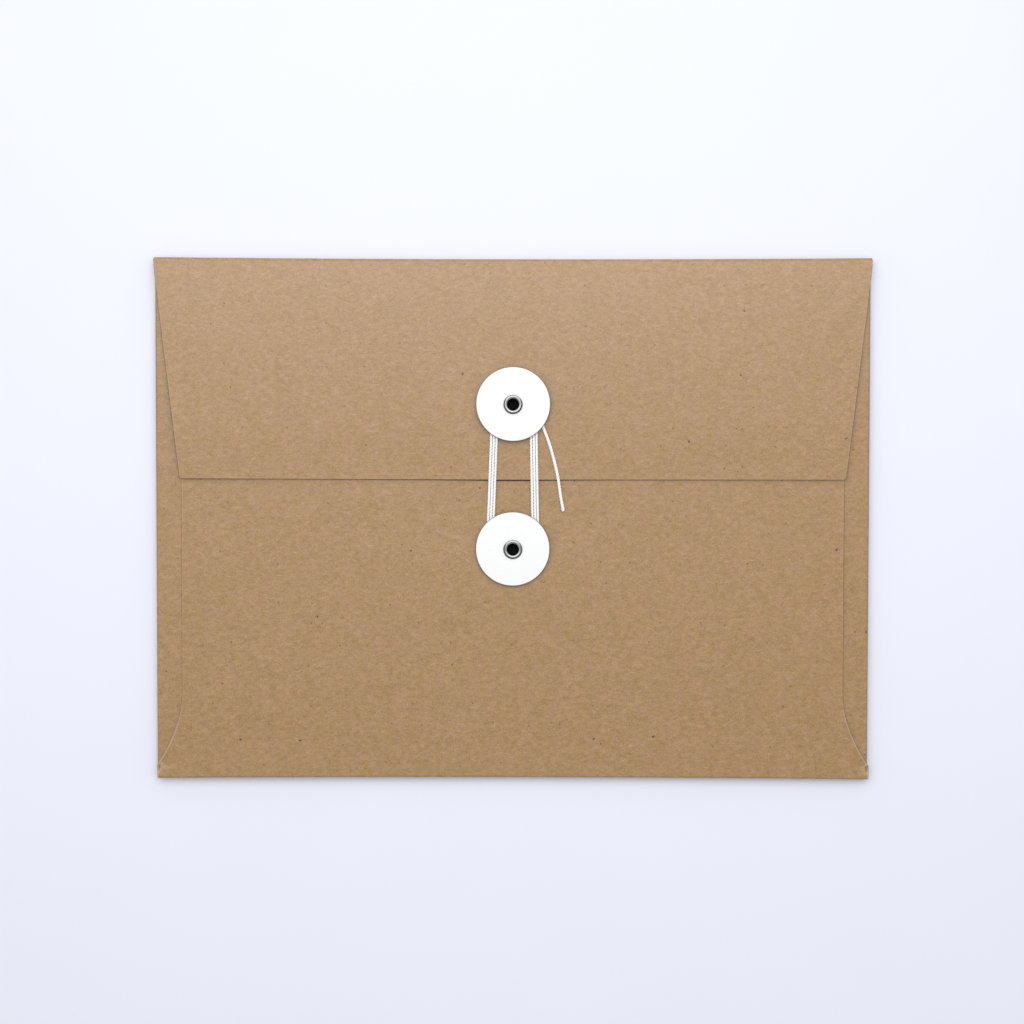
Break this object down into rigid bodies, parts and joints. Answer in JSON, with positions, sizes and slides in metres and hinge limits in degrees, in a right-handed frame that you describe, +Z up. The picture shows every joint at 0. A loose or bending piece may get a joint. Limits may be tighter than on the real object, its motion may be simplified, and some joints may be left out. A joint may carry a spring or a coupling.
{
  "type": "string tie envelope",
  "caption": "Flat kraft paper card envelope with a fold-over flap, held shut by a white string wound round a card button on the flap and one on the body.",
  "frame": {"origin": "on the surface that the envelope lies on, under the middle of its outline", "axes": "+X across the envelope, +Y towards the flap's fold, +Z up out of the side with the flap"},
  "size_m": [0.1846, 0.1334, 0.0043],
  "materials": {
    "kraft_paper": "uncoated kraft paper with fine fibres and dark flecks",
    "white_card": "smooth uncoated white card",
    "nickel": "nickel-plated brass, rolled and polished",
    "black_paper": "matte black paper",
    "white_string": "twisted white cotton string",
    "seam_glue": "dried envelope glue"
  },
  "bodies": {
    "envelope": {"front_panel": "kraft_paper", "left_fold": "kraft_paper", "right_fold": "kraft_paper", "bottom_fold": "kraft_paper", "top_fold": "kraft_paper", "left_side_flap": "kraft_paper", "right_side_flap": "kraft_paper", "left_seam_glue": "seam_glue", "right_seam_glue": "seam_glue", "back_panel": "kraft_paper", "body_button_spacer": "white_card", "body_eyelet": "nickel", "body_eyelet_patch": "black_paper"},
    "flap": {"closure_flap": "kraft_paper", "flap_button_spacer": "white_card", "flap_eyelet": "nickel", "flap_eyelet_patch": "black_paper", "string_knot": "white_string", "string_winding": "white_string", "string_tail": "white_string"},
    "flap_disc": {"flap_button": "white_card"},
    "body_disc": {"body_button": "white_card"}
  },
  "joints": [
    {"name": "flap_hinge", "type": "hinge", "parent": "envelope", "child": "flap", "pos_m": [0, 0.06548, 0.0012], "axis": [-1, 0, 0], "range_deg": [0, 175], "deforming": ["top_fold", "string_winding"]},
    {"name": "flap_button_spin", "type": "hinge", "parent": "flap", "child": "flap_disc", "pos_m": [0, 0.02927, 0.00361], "axis": [0, 0, 1], "continuous": true},
    {"name": "body_button_spin", "type": "hinge", "parent": "envelope", "child": "body_disc", "pos_m": [0, -0.00792, 0.00281], "axis": [0, 0, 1], "continuous": true}
  ]
}
